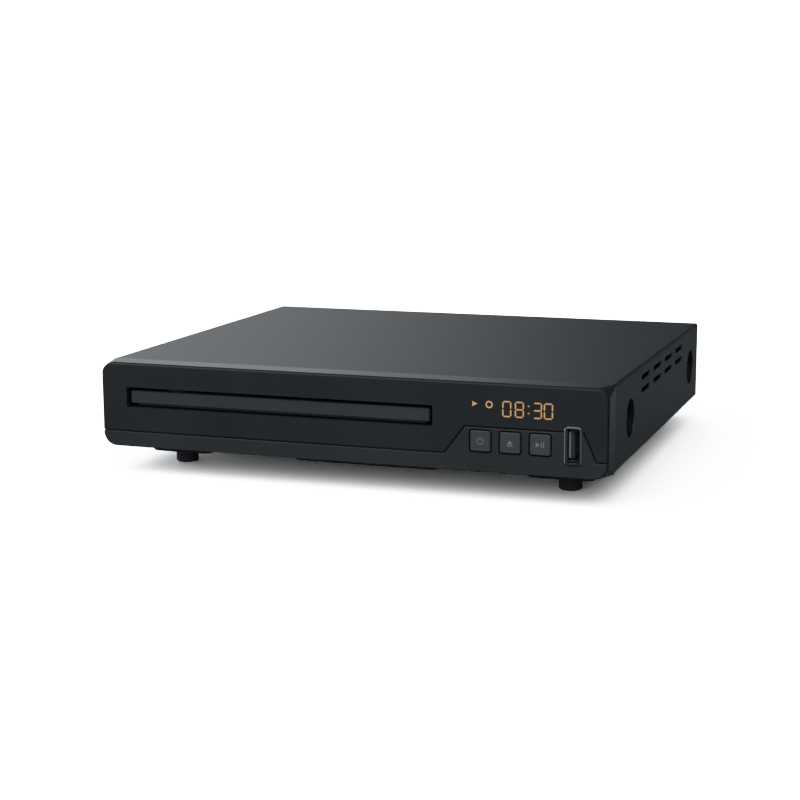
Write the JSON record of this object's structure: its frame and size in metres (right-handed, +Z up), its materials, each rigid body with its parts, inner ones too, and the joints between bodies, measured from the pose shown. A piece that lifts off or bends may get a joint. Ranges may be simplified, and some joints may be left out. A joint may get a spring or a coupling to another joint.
{
  "type": "dvd player",
  "caption": "Compact tabletop disc player: folded steel case, moulded front with tray door, clock display, push buttons and upright USB port, and a motor-driven disc tray.",
  "frame": {"origin": "middle of the bounding box on the surface that the feet stand on", "axes": "+X to the right as seen from the front, +Y from the front panel to the back, +Z up"},
  "size_m": [0.225, 0.2068, 0.0493],
  "materials": {
    "panel_black": "satin",
    "fascia_smoke": "satin",
    "trim_charcoal": "satin",
    "button_grey": "satin",
    "door_grey": "satin",
    "cover_steel": "textured",
    "bare_steel": "satin",
    "rear_paint": "textured",
    "bezel_chrome": "polished",
    "foot_rubber": "matt",
    "black_plastic": "satin",
    "white_plastic": "satin",
    "socket_metal": "polished",
    "socket_colour": "satin",
    "board_green": "satin",
    "sink_metal": "satin",
    "brass": "polished",
    "magnet_steel": "matt"
  },
  "bodies": {
    "case": {"front_panel": "panel_black", "fascia_plate": "fascia_smoke", "lower_trim": "trim_charcoal", "top_cover": "cover_steel", "clamp_bridge": "bare_steel", "usb_shell": "bare_steel", "hdmi_shell": "bare_steel", "loading_motor": "bare_steel", "board_standoffs": "bare_steel", "rear_panel": "rear_paint", "base_chassis": "rear_paint", "usb_bezel": "bezel_chrome", "foot_front_left": "foot_rubber", "foot_front_right": "foot_rubber", "foot_rear_left": "foot_rubber", "foot_rear_right": "foot_rubber", "drive_belt": "foot_rubber", "usb_tongue": "black_plastic", "socket_block": "black_plastic", "mains_inlet": "black_plastic", "hdmi_tongue": "black_plastic", "loader_frame": "black_plastic", "display_module": "black_plastic", "infrared_eye": "black_plastic", "button_switches": "black_plastic", "decoder_chip": "black_plastic", "transformer_core": "black_plastic", "capacitors": "black_plastic", "front_ribbon": "white_plastic", "ribbon_connectors": "white_plastic", "transformer_bobbin": "white_plastic", "socket_barrels": "socket_metal", "inlet_pins": "socket_metal", "socket_inserts": "socket_colour", "front_board": "board_green", "power_board": "board_green", "main_board": "board_green", "heat_sink": "sink_metal"},
    "tray": {"disc_tray": "black_plastic", "tray_door": "door_grey"},
    "tray_gear_body": {"tray_gear": "white_plastic"},
    "pulley_body": {"pulley_gear": "white_plastic"},
    "motor_pulley_body": {"motor_pulley": "brass"},
    "cam": {"cam_slider": "white_plastic"},
    "traverse": {"traverse_plate": "bare_steel", "guide_rods": "bare_steel", "spindle_motor": "bare_steel", "sled_motor": "bare_steel"},
    "turntable_body": {"turntable": "white_plastic", "turntable_pad": "foot_rubber"},
    "clamper_body": {"clamper": "white_plastic", "clamper_magnet": "magnet_steel"},
    "sled": {"pickup": "black_plastic"},
    "lens": {"objective_lens": "white_plastic"},
    "feed_gear_body": {"feed_gear": "white_plastic"},
    "sled_pinion_body": {"sled_pinion": "brass"},
    "power_body": {"power_button": "button_grey"},
    "eject_body": {"eject_button": "button_grey"},
    "play_body": {"play_button": "button_grey"}
  },
  "joints": [
    {"name": "tray_slide", "type": "slide", "parent": "case", "child": "tray", "axis": [0, -1, 0], "range_m": [0, 0.13]},
    {"name": "tray_gear_turn", "type": "hinge", "parent": "case", "child": "tray_gear_body", "pos_m": [-0.07852, -0.0703, 0.02205], "axis": [0, 0, 1], "range_deg": [-8, 836]},
    {"name": "pulley_turn", "type": "hinge", "parent": "case", "child": "pulley_body", "pos_m": [-0.05843, -0.07568, 0.02205], "axis": [0, 0, 1], "range_deg": [-2767, 8]},
    {"name": "motor_pulley_turn", "type": "hinge", "parent": "case", "child": "motor_pulley_body", "pos_m": [0.019, -0.07568, 0.02205], "axis": [0, 0, 1], "range_deg": [-7448, 8]},
    {"name": "cam_shift", "type": "slide", "parent": "case", "child": "cam", "axis": [1, 0, 0], "range_m": [0, 0.012]},
    {"name": "traverse_tilt", "type": "hinge", "parent": "case", "child": "traverse", "pos_m": [-0.0305, 0.0532, 0.0244], "axis": [1, 0, 0], "range_deg": [-0.05, 3.8]},
    {"name": "spindle_spin", "type": "hinge", "parent": "traverse", "child": "turntable_body", "pos_m": [-0.0305, -0.0328, 0.03525], "axis": [0, 0, 1], "continuous": true},
    {"name": "clamper_spin", "type": "hinge", "parent": "case", "child": "clamper_body", "pos_m": [-0.0305, -0.0328, 0.03575], "axis": [0, 0, 1], "continuous": true},
    {"name": "pickup_feed", "type": "slide", "parent": "traverse", "child": "sled", "axis": [0, 1, 0], "range_m": [0, 0.033]},
    {"name": "feed_gear_turn", "type": "hinge", "parent": "traverse", "child": "feed_gear_body", "pos_m": [0.0051, 0.0182, 0.02565], "axis": [0, 0, 1], "range_deg": [-533, 8]},
    {"name": "sled_pinion_turn", "type": "hinge", "parent": "traverse", "child": "sled_pinion_body", "pos_m": [0.0051, 0.008, 0.02565], "axis": [0, 0, 1], "range_deg": [-8, 1269]},
    {"name": "lens_focus", "type": "slide", "parent": "sled", "child": "lens", "axis": [0, 0, 1], "range_m": [-0.0004, 0.0004], "stiffness_N_per_m": 60},
    {"name": "power_press", "type": "slide", "parent": "case", "child": "power_body", "axis": [0, 1, 0], "range_m": [0, 0.0006], "stiffness_N_per_m": 800, "springref_m": -0.0008},
    {"name": "eject_press", "type": "slide", "parent": "case", "child": "eject_body", "axis": [0, 1, 0], "range_m": [0, 0.0006], "stiffness_N_per_m": 800, "springref_m": -0.0008},
    {"name": "play_press", "type": "slide", "parent": "case", "child": "play_body", "axis": [0, 1, 0], "range_m": [0, 0.0006], "stiffness_N_per_m": 800, "springref_m": -0.0008}
  ],
  "couplings": [
    {"joint": "tray_gear_turn", "follows": "tray_slide", "rad_per_m": 111.11},
    {"joint": "pulley_turn", "follows": "tray_slide", "rad_per_m": -370.37},
    {"joint": "motor_pulley_turn", "follows": "tray_slide", "rad_per_m": -998.88},
    {"joint": "traverse_tilt", "follows": "cam_shift", "rad_per_m": 5.4512},
    {"joint": "clamper_spin", "follows": "spindle_spin", "ratio": 1},
    {"joint": "feed_gear_turn", "follows": "pickup_feed", "rad_per_m": -277.78},
    {"joint": "sled_pinion_turn", "follows": "pickup_feed", "rad_per_m": 666.67}
  ]
}
